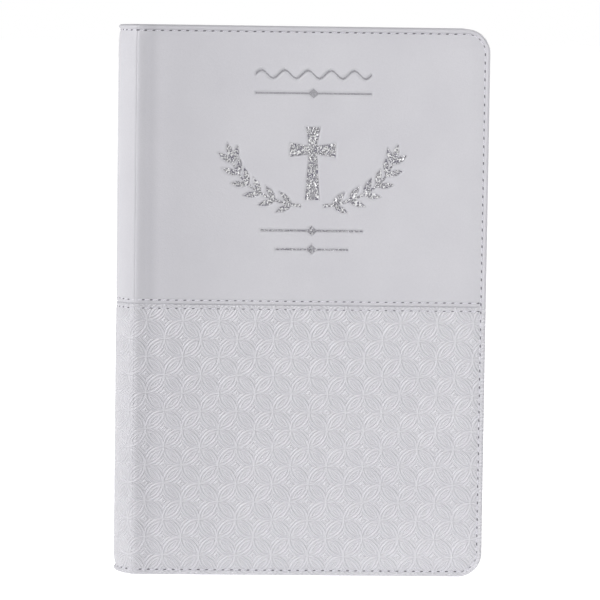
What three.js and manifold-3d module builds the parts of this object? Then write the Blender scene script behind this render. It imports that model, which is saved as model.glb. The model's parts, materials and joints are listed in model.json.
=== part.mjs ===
// A Bible in a flexible two-panel cover, closed and standing on its tail edges.
// Millimetres. +Z runs from tail to head, the front cover faces -Y, the spine is at -X.
// The origin is the middle of the footprint, on the surface that the book stands on.

import * as THREE from 'three';
import { mergeVertices } from 'three/addons/utils/BufferGeometryUtils.js';
import Module from 'manifold-3d';

const wasm = await Module();
wasm.setup();

// Driving dimensions: the cover as a whole
const coverHeight = 205;
const coverWidth = 138;
const coverThickness = 27;
const cornerRadius = 9;
const spineRise = 7;
const seamHeight = 101.5;

// Driving dimensions: the cover's layers, from the outside in
const skin = 0.9;
const board = 1.2;
const spineCard = 0.8;
const lining = 0.5;
const pastedown = 0.3;
const turnIn = 5;
const liningInset = 0.6;
const hingeStrip = 6.5;

// Driving dimensions: the stitching
const edgeStitchInset = 1.9;
const seamStitchOffset = 1.55;
const threadWidth = 0.6;
const threadHeight = 0.4;

// Driving dimensions: the foil stamping
const foilCentreX = 3.5;
const foilThickness = 0.15;
const foilDepth = 0.3;
const crossHeight = 27;
const crossWidth = 17;
const crossBar = 3;
const crossFlare = 5.2;
const branchReach = 30.5;
const branchDrop = 21;
const branchLeafPairs = 6;
const branchLeafLength = 6.6;
const branchLeafWidth = 2.2;
const stemWidth = 1;

// Driving dimensions: the text block
const headSquare = 3;
const foreSquare = 3.5;
const pageCorner = 7;
const sectionCount = 12;
const turningSections = 5;
const leaf = 0.25;
const leafGap = 0.1;
const gutter = 4.5;
const bendRoom = 3;
const leafRoom = 1.5;
const backInset = 3.3;
const mull = 0.3;
const spinePaper = 0.3;
const chainCount = 4;
const chainWidth = 1.2;
const chainThickness = 0.25;
const bandHeight = 2;
const bandWidth = 1.2;

// Clearances
const hingeGap = 0.3;
const fit = 0.3;
const coverGap = 0.3;

// The cover's frame
const halfWidth = coverWidth / 2;
const halfThickness = coverThickness / 2;
const spineEdge = -halfWidth + spineRise;
const panelEdge = spineEdge + hingeGap;
const spineRadius = (halfThickness ** 2 + spineRise ** 2) / (2 * spineRise);
const spineCentre = spineRadius - halfWidth;

// The text block's frame
const coverInside = halfThickness - skin - board - lining - pastedown;
const frontFlyleafY = -coverInside + coverGap;
const presentationY = frontFlyleafY + leaf + leafGap;
const blockFront = presentationY + leaf + leafGap;
const backFlyleafY = coverInside - coverGap - leaf;
const sectionPitch = (backFlyleafY - blockFront) / sectionCount;
const sectionThickness = sectionPitch - leafGap;
const blockBack = blockFront + sectionCount * sectionPitch - leafGap;
const pageTail = headSquare;
const pageHead = coverHeight - headSquare;
const gutterX = spineEdge + gutter;
const blockRadius = spineRadius - backInset;
const foreEdge = halfWidth - foreSquare;

// How far a cutting tool reaches past the piece that it cuts
const overrun = 2;

// Finishes
const finish = {
  smoothLeather: { color: 0xd0cfd5, roughness: 0.52, metalness: 0 },
  embossedLeather: { color: 0xcdccd2, roughness: 0.5, metalness: 0 },
  liningSheet: { color: 0xc9c7cf, roughness: 0.8, metalness: 0 },
  greyBoard: { color: 0x9a968d, roughness: 0.95, metalness: 0 },
  thread: { color: 0xb9b8c2, roughness: 0.7, metalness: 0 },
  silverFoil: { color: 0xb4b3bd, roughness: 0.25, metalness: 1 },
  greyFoil: { color: 0x77757e, roughness: 0.5, metalness: 0 },
  endPaper: { color: 0xf1eee6, roughness: 0.9, metalness: 0 },
  biblePaper: { color: 0xf3f0e8, roughness: 0.85, metalness: 0 },
  glue: { color: 0xe6dfc8, roughness: 0.6, metalness: 0 },
  cloth: { color: 0xe9e7e0, roughness: 0.95, metalness: 0 },
  bandCloth: { color: 0xdedde6, roughness: 0.6, metalness: 0 },
};

const bible = new THREE.Group();

function addPiece(name, geometry, look) {
  const mesh = new THREE.Mesh(geometry, new THREE.MeshStandardMaterial(finish[look]));
  mesh.name = name;
  bible.add(mesh);
  return mesh;
}

// ---- Solids -------------------------------------------------------------------------

// A flat piece: its outline is drawn in X and Z, and it is as thick as asked along Y.
function plate(outline, lowY, thickness, curveSegments = 8) {
  const options = { depth: thickness, bevelEnabled: false, curveSegments };
  const geometry = new THREE.ExtrudeGeometry(outline, options);
  geometry.rotateX(Math.PI / 2);
  geometry.translate(0, lowY + thickness, 0);
  return geometry;
}

// An upright piece: its outline is drawn in X and Y, and it runs up from lowZ to highZ.
function upright(outline, lowZ, highZ) {
  const options = { depth: highZ - lowZ, bevelEnabled: false };
  const geometry = new THREE.ExtrudeGeometry(outline, options);
  geometry.translate(0, 0, lowZ);
  return geometry;
}

function toSolid(geometry) {
  const bare = geometry.clone();
  bare.deleteAttribute('normal');
  bare.deleteAttribute('uv');
  const merged = mergeVertices(bare);
  const mesh = new wasm.Mesh({
    numProp: 3,
    vertProperties: merged.attributes.position.array,
    triVerts: Uint32Array.from(merged.index.array),
  });
  return new wasm.Manifold(mesh);
}

function toGeometry(solid) {
  const mesh = solid.getMesh();
  const geometry = new THREE.BufferGeometry();
  geometry.setAttribute('position', new THREE.BufferAttribute(mesh.vertProperties, 3));
  geometry.setIndex(new THREE.BufferAttribute(mesh.triVerts, 1));
  geometry.computeVertexNormals();
  return geometry;
}

function cut(geometry, tools) {
  const solid = tools.reduce((body, tool) => body.subtract(toSolid(tool)), toSolid(geometry));
  return toGeometry(solid);
}

function join(geometries) {
  const solids = geometries.map(toSolid);
  return toGeometry(solids.reduce((body, piece) => body.add(piece)));
}

// ---- Outlines -----------------------------------------------------------------------

function rectangle(lowX, lowZ, highX, highZ) {
  const outline = new THREE.Shape();
  outline.moveTo(lowX, lowZ);
  outline.lineTo(highX, lowZ);
  outline.lineTo(highX, highZ);
  outline.lineTo(lowX, highZ);
  outline.closePath();
  return outline;
}

// A sheet with square corners at the spine and round ones at the fore-edge.
function sheetOutline(lowX, lowZ, highX, highZ, radius) {
  const outline = new THREE.Shape();
  outline.moveTo(lowX, lowZ);
  outline.lineTo(highX - radius, lowZ);
  outline.absarc(highX - radius, lowZ + radius, radius, -Math.PI / 2, 0);
  outline.absarc(highX - radius, highZ - radius, radius, 0, Math.PI / 2);
  outline.lineTo(lowX, highZ);
  outline.closePath();
  return outline;
}

// The cover's outline drawn in from its head, fore-edge and tail.
function coverOutline(inset, lowX) {
  const radius = cornerRadius - inset;
  return sheetOutline(lowX, inset, halfWidth - inset, coverHeight - inset, radius);
}

// A band that follows the head, fore-edge and tail between two insets.
function edgeBand(outerInset, innerInset, lowX) {
  const centreX = halfWidth - cornerRadius;
  const headCentre = coverHeight - cornerRadius;
  const outer = cornerRadius - outerInset;
  const inner = cornerRadius - innerInset;
  const quarter = Math.PI / 2;
  const band = new THREE.Shape();
  band.moveTo(lowX, outerInset);
  band.lineTo(centreX, outerInset);
  band.absarc(centreX, cornerRadius, outer, -quarter, 0);
  band.absarc(centreX, headCentre, outer, 0, quarter);
  band.lineTo(lowX, coverHeight - outerInset);
  band.lineTo(lowX, coverHeight - innerInset);
  band.absarc(centreX, headCentre, inner, quarter, 0, true);
  band.absarc(centreX, cornerRadius, inner, 0, -quarter, true);
  band.lineTo(lowX, innerInset);
  band.closePath();
  return band;
}

// Points on a circle about the spine's centre line, at every fifth degree short of the end.
const arcStep = 5;
const arcMargin = 1.5;

function arcPoints(radius, lowEnd, highEnd) {
  const angles = [lowEnd];
  for (let angle = -90; angle <= 90; angle += arcStep) {
    if (angle > lowEnd + arcMargin && angle < highEnd - arcMargin) {
      angles.push(angle);
    }
  }
  angles.push(highEnd);
  return angles.map((degrees) => {
    const angle = THREE.MathUtils.degToRad(degrees);
    return new THREE.Vector2(
      spineCentre - radius * Math.cos(angle),
      radius * Math.sin(angle),
    );
  });
}

function bandShape(outerPoints, innerPoints) {
  return new THREE.Shape([...outerPoints, ...innerPoints.reverse()]);
}

// A layer of the spine that stops at the plane x = endX.
function spineLayer(outerRadius, innerRadius, endX) {
  const arcTo = (radius) => {
    const end = THREE.MathUtils.radToDeg(Math.acos((spineCentre - endX) / radius));
    return arcPoints(radius, -end, end);
  };
  return bandShape(arcTo(outerRadius), arcTo(innerRadius));
}

// A layer of the spine that stops at a given angle to either side.
function spineStrip(outerRadius, innerRadius, end) {
  return bandShape(arcPoints(outerRadius, -end, end), arcPoints(innerRadius, -end, end));
}

// ---- The cover's flat halves: side -1 is the front, +1 is the back ---------------------

function layerY(side, depth, thickness) {
  return side < 0 ? depth - halfThickness : halfThickness - depth - thickness;
}

const sides = [['front', -1], ['back', 1]];

// The whole height between head and tail, split in two panels at the seam.
const panelRuns = [
  ['upper_panel', 'smoothLeather', seamHeight, coverHeight],
  ['lower_panel', 'embossedLeather', 0, seamHeight],
];

const seamRows = [
  ['upper', seamHeight + seamStitchOffset],
  ['lower', seamHeight - seamStitchOffset],
];

const threadEdge = edgeStitchInset - threadWidth / 2;
const threadInside = edgeStitchInset + threadWidth / 2;
const pressedY = (side) => layerY(side, -overrun, overrun + threadHeight);

function stitchGrooves(side) {
  const depth = overrun + threadHeight;
  const lowX = panelEdge - overrun;
  const edge = edgeBand(threadEdge - fit, threadInside + fit, lowX);
  const rows = seamRows.map(([, height]) => rectangle(
    lowX,
    height - threadWidth / 2 - fit,
    halfWidth - edgeStitchInset,
    height + threadWidth / 2 + fit,
  ));
  return [edge, ...rows].map((outline) => plate(outline, pressedY(side), depth));
}

function boardRecess(side) {
  const outline = coverOutline(turnIn - fit, panelEdge - overrun);
  return plate(outline, layerY(side, skin, board + overrun), board + overrun);
}

// Cuts away the other panel's height, above or below the seam.
function heightTrim(lowZ) {
  const [from, to] = lowZ < seamHeight ? [seamHeight, coverHeight + overrun] : [-overrun, seamHeight];
  const outline = rectangle(-coverWidth, from, coverWidth, to);
  return plate(outline, -coverThickness, 2 * coverThickness);
}

function coverPanel(side, lowZ, pockets) {
  const blank = plate(coverOutline(0, panelEdge), layerY(side, 0, skin + board), skin + board);
  const tools = [heightTrim(lowZ), boardRecess(side), ...stitchGrooves(side)];
  return cut(blank, [...tools, ...pockets]);
}

function addPanels(sideName, side, pocketsOf) {
  for (const [name, look, lowZ] of panelRuns) {
    const geometry = coverPanel(side, lowZ, pocketsOf(name));
    addPiece(`${name}_${sideName}`, geometry, look);
  }
}

function addCoverStitching(sideName, side) {
  const lowY = layerY(side, 0, threadHeight);
  const edge = edgeBand(threadEdge, threadInside, panelEdge);
  addPiece(`edge_stitching_${sideName}`, plate(edge, lowY, threadHeight), 'thread');
  for (const [row, height] of seamRows) {
    const endX = halfWidth - threadInside - fit;
    const outline = rectangle(panelEdge, height - threadWidth / 2, endX, height + threadWidth / 2);
    addPiece(`seam_stitching_${row}_${sideName}`, plate(outline, lowY, threadHeight), 'thread');
  }
}

function addCoverLayers(sideName, side) {
  const boardShape = coverOutline(turnIn, spineEdge + hingeStrip);
  const liningShape = coverOutline(liningInset, panelEdge);
  const pasteShape = sheetOutline(panelEdge, pageTail, foreEdge, pageHead, pageCorner);
  const liningDepth = skin + board;
  const pasteDepth = liningDepth + lining;
  addPiece(`board_${sideName}`, plate(boardShape, layerY(side, skin, board), board), 'greyBoard');
  addPiece(
    `lining_${sideName}`,
    plate(liningShape, layerY(side, liningDepth, lining), lining),
    'liningSheet',
  );
  addPiece(
    `pastedown_${sideName}`,
    plate(pasteShape, layerY(side, pasteDepth, pastedown), pastedown),
    'endPaper',
  );
}

// ---- Foil stamped into the front's upper panel -----------------------------------------

// A Latin cross with flared ends, about the crossing of its bars; grow widens it all round.
function crossShape(grow) {
  const bar = crossBar / 2 + grow;
  const flare = crossFlare / 2 + grow;
  const side = crossWidth / 2 + grow;
  const foot = crossHeight - crossWidth / 2 + grow;
  const arms = [side, side, foot, side];
  const points = arms.flatMap((reach, turn) => {
    const centre = new THREE.Vector2();
    const angle = -turn * Math.PI / 2;
    return [[-bar, bar], [-flare, reach], [flare, reach]].map(
      ([x, z]) => new THREE.Vector2(x, z).rotateAround(centre, angle),
    );
  });
  return new THREE.Shape(points);
}

// A leaf that grows from a point on its branch in a given direction, widest at its middle.
function leafShape(root, direction, grow) {
  const across = new THREE.Vector2(-direction.y, direction.x);
  const base = root.clone().addScaledVector(direction, -grow);
  const tip = base.clone().addScaledVector(direction, branchLeafLength + 2 * grow);
  const middle = base.clone().lerp(tip, 0.5);
  const outline = new THREE.Shape();
  outline.moveTo(base.x, base.y);
  for (const [turn, end] of [[-1, tip], [1, base]]) {
    const bulge = middle.clone().addScaledVector(across, turn * (branchLeafWidth + 2 * grow));
    outline.quadraticCurveTo(bulge.x, bulge.y, end.x, end.y);
  }
  return outline;
}

// A branch that rises beside the cross along part of an ellipse, with leaves in pairs.
const branchStart = -THREE.MathUtils.degToRad(82);
const branchEnd = -THREE.MathUtils.degToRad(8);
const stemSteps = 10;
const leafTurn = THREE.MathUtils.degToRad(36);

function branchShapes(side, grow) {
  const origin = new THREE.Vector2();
  const angleAt = (share) => branchStart + share * (branchEnd - branchStart);
  const pointAt = (share) => {
    const angle = angleAt(share);
    return new THREE.Vector2(side * branchReach * Math.cos(angle), branchDrop * Math.sin(angle));
  };
  const headingAt = (share) => {
    const angle = angleAt(share);
    return new THREE.Vector2(
      -side * branchReach * Math.sin(angle),
      branchDrop * Math.cos(angle),
    ).normalize();
  };
  const stemEdge = (turn) => Array.from({ length: stemSteps + 1 }, (_, index) => {
    const share = index / stemSteps;
    const half = (stemWidth / 2) * (1 - share / 2) + grow;
    const heading = headingAt(share);
    return pointAt(share).add(new THREE.Vector2(-heading.y, heading.x).multiplyScalar(turn * half));
  });
  const shapes = [new THREE.Shape([...stemEdge(1), ...stemEdge(-1).reverse()])];
  for (let index = 0; index < branchLeafPairs; index += 1) {
    const share = (index + 0.5) / branchLeafPairs;
    for (const turn of [-leafTurn, leafTurn]) {
      const direction = headingAt(share).rotateAround(origin, turn);
      shapes.push(leafShape(pointAt(share), direction, grow));
    }
  }
  const tipRoot = 0.96;
  return [...shapes, leafShape(pointAt(tipRoot), headingAt(tipRoot), grow)];
}

// A thin rule with a lozenge at its middle.
function ruleShape(length, grow) {
  const half = length / 2 + grow;
  const thin = 0.3 + grow;
  const lozenge = 1.7 + grow;
  const corners = [
    [-half, -thin], [-lozenge, -thin], [0, -lozenge], [lozenge, -thin], [half, -thin],
    [half, thin], [lozenge, thin], [0, lozenge], [-lozenge, thin], [-half, thin],
  ];
  return new THREE.Shape(corners.map(([x, z]) => new THREE.Vector2(x, z)));
}

// A thin rule that runs in waves.
function waveShape(length, grow) {
  const waves = 5;
  const stepsPerWave = 8;
  const amplitude = 1.5;
  const half = 0.35 + grow;
  const steps = waves * stepsPerWave;
  const edge = (offset) => Array.from({ length: steps + 1 }, (_, index) => {
    const share = index / steps;
    const x = (share - 0.5) * (length + 2 * grow);
    return new THREE.Vector2(x, amplitude * Math.sin(share * waves * 2 * Math.PI) + offset);
  });
  return new THREE.Shape([...edge(-half), ...edge(half).reverse()]);
}

// Each stamp: its name, finish, place from the cover's head, and the outlines that make it.
const crossTop = 37;
const crossLevel = crossTop + crossWidth / 2;
const stamps = [
  ['foil_wave', 'greyFoil', 17.5, (grow) => [waveShape(43, grow)]],
  ['foil_upper_rule', 'greyFoil', 24.5, (grow) => [ruleShape(43, grow)]],
  ['foil_cross', 'silverFoil', crossLevel, (grow) => [crossShape(grow)]],
  ['foil_branch_left', 'silverFoil', crossLevel, (grow) => branchShapes(-1, grow)],
  ['foil_branch_right', 'silverFoil', crossLevel, (grow) => branchShapes(1, grow)],
  ['foil_lower_rule_long', 'silverFoil', 75.5, (grow) => [ruleShape(38, grow)]],
  ['foil_lower_rule_short', 'silverFoil', 82.5, (grow) => [ruleShape(27, grow)]],
];

function stampSolid(shapes, fromHead, depth, thickness) {
  const geometries = shapes.map((outline) => {
    const geometry = plate(outline, layerY(-1, depth, thickness), thickness, 3);
    geometry.translate(foilCentreX, 0, coverHeight - fromHead);
    return geometry;
  });
  return join(geometries);
}

const foilPockets = stamps.map(([, , fromHead, shapesOf]) => (
  stampSolid(shapesOf(fit), fromHead, -overrun, overrun + foilDepth)
));

function addFoil() {
  for (const [name, look, fromHead, shapesOf] of stamps) {
    const depth = foilDepth - foilThickness;
    addPiece(name, stampSolid(shapesOf(0), fromHead, depth, foilThickness), look);
  }
}

// ---- The cover's spine -----------------------------------------------------------------

const cardRadius = spineRadius - skin;
const liningRadius = cardRadius - spineCard;

const spineRows = [
  ['edge_stitching_spine_head', coverHeight - edgeStitchInset],
  ['seam_stitching_upper_spine', seamHeight + seamStitchOffset],
  ['seam_stitching_lower_spine', seamHeight - seamStitchOffset],
  ['edge_stitching_spine_tail', edgeStitchInset],
];

function spineGroove(height) {
  const outline = spineLayer(spineRadius + overrun, spineRadius - threadHeight, spineEdge + 1);
  const half = threadWidth / 2 + fit;
  return upright(outline, height - half, height + half);
}

function addSpinePanels() {
  const cardSpace = spineLayer(cardRadius, liningRadius - overrun, spineEdge + 1);
  const recess = upright(cardSpace, turnIn - fit, coverHeight - turnIn + fit);
  const grooves = spineRows.map(([, height]) => spineGroove(height));
  for (const [name, look, lowZ, highZ] of panelRuns) {
    const blank = upright(spineLayer(spineRadius, liningRadius, spineEdge), lowZ, highZ);
    addPiece(`${name}_spine`, cut(blank, [recess, ...grooves]), look);
  }
}

const cardEnd = 40;

function addSpineLayers() {
  const card = spineStrip(cardRadius, liningRadius, cardEnd);
  const liningShape = spineLayer(liningRadius, liningRadius - lining, spineEdge);
  addPiece('spine_card', upright(card, turnIn, coverHeight - turnIn), 'greyBoard');
  addPiece(
    'lining_spine',
    upright(liningShape, liningInset, coverHeight - liningInset),
    'liningSheet',
  );
  const thread = spineLayer(spineRadius, spineRadius - threadHeight, spineEdge);
  for (const [name, height] of spineRows) {
    const half = threadWidth / 2;
    addPiece(name, upright(thread, height - half, height + half), 'thread');
  }
}

// ---- The text block --------------------------------------------------------------------

const backAngle = (y) => THREE.MathUtils.radToDeg(Math.asin(y / blockRadius));
const backX = (y) => spineCentre - Math.sqrt(blockRadius ** 2 - y ** 2);

function chainHeights() {
  const run = pageHead - pageTail;
  return Array.from({ length: chainCount }, (_, index) => (
    pageTail + run * (index + 0.5) / chainCount
  ));
}

const clothEnd = 45;

function addGluedFolds() {
  const back = arcPoints(blockRadius, backAngle(blockFront), backAngle(blockBack));
  const corners = [new THREE.Vector2(gutterX, blockBack), new THREE.Vector2(gutterX, blockFront)];
  const blank = upright(new THREE.Shape([...back, ...corners]), pageTail, pageHead);
  const kerfShape = spineStrip(
    blockRadius + overrun,
    blockRadius - chainThickness,
    clothEnd - arcStep,
  );
  const half = chainWidth / 2 + fit;
  const kerfs = chainHeights().map((height) => upright(kerfShape, height - half, height + half));
  addPiece('glued_folds', cut(blank, kerfs), 'glue');
}

function addSewing() {
  const chain = spineStrip(blockRadius, blockRadius - chainThickness, clothEnd - 2 * arcStep);
  chainHeights().forEach((height, index) => {
    const geometry = upright(chain, height - chainWidth / 2, height + chainWidth / 2);
    addPiece(`sewing_chain_${index + 1}`, geometry, 'thread');
  });
}

function addSpineCloth() {
  const mullShape = spineStrip(blockRadius + mull, blockRadius, clothEnd);
  const paperShape = spineStrip(blockRadius + mull + spinePaper, blockRadius + mull, clothEnd);
  const low = pageTail + turnIn;
  const high = pageHead - turnIn;
  addPiece('mull', upright(mullShape, low, high), 'cloth');
  addPiece('spine_paper', upright(paperShape, low, high), 'endPaper');
}

function addBands() {
  const band = spineStrip(blockRadius, blockRadius - bandWidth, cardEnd);
  addPiece('headband', upright(band, pageHead, pageHead + bandHeight), 'bandCloth');
  addPiece('tailband', upright(band, pageTail - bandHeight, pageTail), 'bandCloth');
}

// Moves the gutter edge of a sheet's far face away from the fold, so that the sheet can turn.
function slantGutter(geometry, lowX, farY) {
  const position = geometry.attributes.position;
  const near = 0.01;
  for (let index = 0; index < position.count; index += 1) {
    const atGutter = Math.abs(position.getX(index) - lowX) < near;
    const atFar = Math.abs(position.getY(index) - farY) < near;
    if (atGutter && atFar) {
      position.setX(index, lowX + bendRoom);
    }
  }
  geometry.computeVertexNormals();
  return geometry;
}

// Sections keep one width, so a rounded back gives a hollow fore-edge.
function sectionForeEdge(middleY) {
  const outerY = blockBack - sectionThickness / 2;
  return foreEdge - (backX(outerY) - backX(middleY));
}

function addSections() {
  for (let index = 0; index < sectionCount; index += 1) {
    const name = `section_${String(index + 1).padStart(2, '0')}`;
    const lowY = blockFront + index * sectionPitch;
    const turnsForward = index < turningSections;
    const turnsBack = index >= sectionCount - turningSections;
    const turns = turnsForward || turnsBack;
    const lowX = turns ? gutterX + fit : gutterX;
    const highX = sectionForeEdge(lowY + sectionThickness / 2);
    const outline = sheetOutline(lowX, pageTail, highX, pageHead, pageCorner);
    const geometry = plate(outline, lowY, sectionThickness, 6);
    if (turns) {
      slantGutter(geometry, lowX, turnsForward ? lowY + sectionThickness : lowY);
    }
    addPiece(name, geometry, 'biblePaper');
  }
}

function addSingleLeaves() {
  const outline = sheetOutline(gutterX + leafRoom, pageTail, foreEdge, pageHead, pageCorner);
  addPiece('front_flyleaf', plate(outline, frontFlyleafY, leaf), 'endPaper');
  addPiece('presentation_leaf', plate(outline, presentationY, leaf), 'endPaper');
  addPiece('back_flyleaf', plate(outline, backFlyleafY, leaf), 'endPaper');
}

// ---- Assembly --------------------------------------------------------------------------

for (const [sideName, side] of sides) {
  const pocketsOf = (name) => (side < 0 && name === 'upper_panel' ? foilPockets : []);
  addPanels(sideName, side, pocketsOf);
  addCoverStitching(sideName, side);
  addCoverLayers(sideName, side);
}
addFoil();
addSpinePanels();
addSpineLayers();
addGluedFolds();
addSewing();
addSpineCloth();
addBands();
addSections();
addSingleLeaves();

export default bible;
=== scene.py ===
# %% [markdown]
# # A Bible in a stitched, two-panel flexible cover
# The book stands on its tail edges. Its front cover faces -Y, the spine is at -X and the head is up.
# The packed frame holds the boards, the foil, the spine cloth and the joints. This lesson makes what
# the eye sees on top: leather that is rolled round its edges and embossed, single stitches, and paper.

import json
import math

import bmesh
import bpy
import numpy as np
from mathutils import Matrix, Vector
from mathutils.bvhtree import BVHTree


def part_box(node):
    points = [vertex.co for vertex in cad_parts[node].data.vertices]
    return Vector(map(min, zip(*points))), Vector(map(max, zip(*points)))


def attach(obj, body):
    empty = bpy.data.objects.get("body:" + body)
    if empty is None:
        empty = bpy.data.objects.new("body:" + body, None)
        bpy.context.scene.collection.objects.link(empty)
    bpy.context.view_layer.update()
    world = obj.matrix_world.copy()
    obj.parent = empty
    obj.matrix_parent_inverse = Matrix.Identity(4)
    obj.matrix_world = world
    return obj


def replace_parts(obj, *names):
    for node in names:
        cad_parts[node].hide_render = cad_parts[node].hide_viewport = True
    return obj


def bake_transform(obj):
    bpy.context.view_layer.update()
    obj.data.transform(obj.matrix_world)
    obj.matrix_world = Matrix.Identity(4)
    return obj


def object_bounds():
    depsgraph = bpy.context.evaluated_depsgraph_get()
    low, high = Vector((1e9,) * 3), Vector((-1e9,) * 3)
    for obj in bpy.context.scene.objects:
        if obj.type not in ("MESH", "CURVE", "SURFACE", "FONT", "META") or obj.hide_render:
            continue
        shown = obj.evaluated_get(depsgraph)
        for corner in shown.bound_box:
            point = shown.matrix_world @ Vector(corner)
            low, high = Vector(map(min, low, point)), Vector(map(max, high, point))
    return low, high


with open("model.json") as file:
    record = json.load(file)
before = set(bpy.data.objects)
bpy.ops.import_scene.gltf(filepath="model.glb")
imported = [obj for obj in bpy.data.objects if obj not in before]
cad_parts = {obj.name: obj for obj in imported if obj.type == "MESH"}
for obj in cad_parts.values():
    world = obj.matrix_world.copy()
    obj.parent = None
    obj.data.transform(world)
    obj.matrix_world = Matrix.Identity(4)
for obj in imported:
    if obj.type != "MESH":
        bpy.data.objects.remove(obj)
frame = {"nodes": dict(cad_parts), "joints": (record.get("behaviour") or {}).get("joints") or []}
cad_low, cad_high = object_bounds()
print("frame box in mm:", [round(1000 * (b - a), 1) for a, b in zip(cad_low, cad_high)])

# %% [markdown]
# ## The book's measures
# Every size comes from the frame. Lengths below are in metres, and MM turns millimetres into them.
# Nothing is typed twice: a board's edge or a seam's height is read from the piece that has it, so the
# leather still fits when the frame's sizes change. Sizes with no node of their own are named here.

# %% Measures from the frame
MM = 0.001
HEIGHT = cad_high.z
HALF_WIDTH = cad_high.x
HALF_THICK = cad_high.y
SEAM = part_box("upper_panel_front")[0].z
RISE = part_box("upper_panel_spine")[1].x + HALF_WIDTH
SPINE_R = (HALF_THICK**2 + RISE**2) / (2 * RISE)
SPINE_X = SPINE_R - HALF_WIDTH
BOARD_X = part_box("board_front")[0].x
DIP_X = BOARD_X - 2.2 * MM
BOARD_Y = -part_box("board_front")[0].y
LINING_Y = -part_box("lining_front")[0].y
PASTE_Y = -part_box("pastedown_front")[0].y
PAGE_TAIL, PAGE_HEAD = (p.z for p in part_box("glued_folds"))
FORE_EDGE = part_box("pastedown_front")[1].x
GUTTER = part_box("glued_folds")[1].x
BLOCK_R = SPINE_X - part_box("glued_folds")[0].x
CORNER = 9 * MM
PAGE_CORNER = 7 * MM
STITCH_INSET = HALF_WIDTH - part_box("edge_stitching_front")[1].x + 0.3 * MM
SEAM_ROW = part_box("seam_stitching_upper_front")[0].z + 0.3 * MM - SEAM
print("height, seam, spine radius in mm:", [round(v / MM, 1) for v in (HEIGHT, SEAM, SPINE_R)])

# %% [markdown]
# ## The cover's cross-section
# Seen from the head, the cover is one line that runs along the front, round a soft fold and round the
# spine. It could be drawn as three shapes that meet, but then a gap would show at the folds. Here a
# point on the leather is named by how far along the line it lies. A pattern then follows the leather
# round the corner, and each fold has one place where both pieces meet.

# %% The cover's cross-section as one line
FOLD_R = 4 * MM
FOLD_CENTRE_Y = HALF_THICK - FOLD_R
FLAT_END = SPINE_X - math.sqrt((SPINE_R - FOLD_R) ** 2 - FOLD_CENTRE_Y**2)
FOLD_TURN = math.pi / 2 - math.atan2(FOLD_CENTRE_Y, SPINE_X - FLAT_END)
FOLD_LONG = FOLD_R * FOLD_TURN
ARC_HALF = SPINE_R * (math.pi / 2 - FOLD_TURN)
SPLIT = FLAT_END - FOLD_LONG / 2
SPINE_MIDDLE = FLAT_END - FOLD_LONG - ARC_HALF


def profile(u):
    """Point and inward direction in X and Y of the cover's outside at distances u along its line."""
    fold = np.clip((FLAT_END - u) / FOLD_R, 0, FOLD_TURN)
    past = np.maximum(FLAT_END - FOLD_LONG - u, 0) / SPINE_R
    turn = fold + past
    on_arc = past > 0
    x_fold = np.where(u > FLAT_END, u, FLAT_END - FOLD_R * np.sin(turn))
    y_fold = -FOLD_CENTRE_Y - FOLD_R * np.cos(turn)
    x = np.where(on_arc, SPINE_X - SPINE_R * np.sin(turn), x_fold)
    y = np.where(on_arc, -SPINE_R * np.cos(turn), y_fold)
    return x, y, np.sin(turn), np.cos(turn)


print("leather from the front fold to the spine's middle, mm:", round((SPLIT - SPINE_MIDDLE) / MM, 1))

# %% [markdown]
# ## A sheet that rolls round its edge
# The leather is turned in over the board's edge. A grid is laid over the panel with its outer rows
# running past the edge: how far a row lies from the edge is its ring, and the ring says whether the
# row is on the face, on the half-round edge or on the turn-in behind. At the corners the square rings
# of the grid are bent into round ones, so the rows keep their distance from the outline.

# %% Rolling and rounding
ROLL = (HALF_THICK - LINING_Y) / 2
TURN_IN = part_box("board_front")[0].z
RING_END = ROLL - math.pi * ROLL - TURN_IN + ROLL


def smooth(t):
    t = np.clip(t, 0, 1)
    return t * t * (3 - 2 * t)


def hump(distance, width):
    return np.exp(-((distance / width) ** 2))


def roll(ring):
    """How far in from the outline, and how deep below the face, a ring of the sheet lies."""
    turn = np.clip((ROLL - ring) / ROLL, 0, math.pi)
    behind = np.maximum(ROLL - math.pi * ROLL - ring, 0)
    inset = np.where(ring > ROLL, ring, ROLL - ROLL * np.sin(turn) + behind)
    depth = np.where(ring > ROLL, 0, ROLL - ROLL * np.cos(turn))
    return inset, depth


def round_corner(c, r, radius, inset):
    """Bends a grid's square corner into a round one. c and r are distances from the two edges."""
    a, b = radius - c, radius - r
    corner = (a > 0) & (b > 0)
    big, small = np.maximum(a, b), np.minimum(a, b)
    share = (math.pi / 4) * small / np.where(big == 0, 1, big)
    angle = np.where(a >= b, share, math.pi / 2 - share)
    reach = radius - inset
    c_out = np.where(corner, radius - reach * np.cos(angle), np.where(c <= r, inset, c))
    r_out = np.where(corner, radius - reach * np.sin(angle), np.where(r < c, inset, r))
    return c_out, r_out


print("edge roll radius mm:", round(ROLL / MM, 2), "turn-in mm:", round(TURN_IN / MM, 1))

# %% [markdown]
# ## Grids that become pieces
# A grid made with one operator is easy to keep even, and its rows can be packed close together where
# there is fine detail and far apart where there is none. Every vertex also keeps a note of where it
# lies on the flat sheet. Patterns read that note, so they stay with the sheet when it bends.

# %% Grids and pieces
def graded(*runs):
    """Row places from runs of (start, end, step), in millimetres, as metres."""
    values = [runs[0][0]]
    for start, end, step in runs:
        count = max(1, round((end - start) / step))
        values += [start + (end - start) * (i + 1) / count for i in range(count)]
    return np.array(values) * MM


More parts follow.
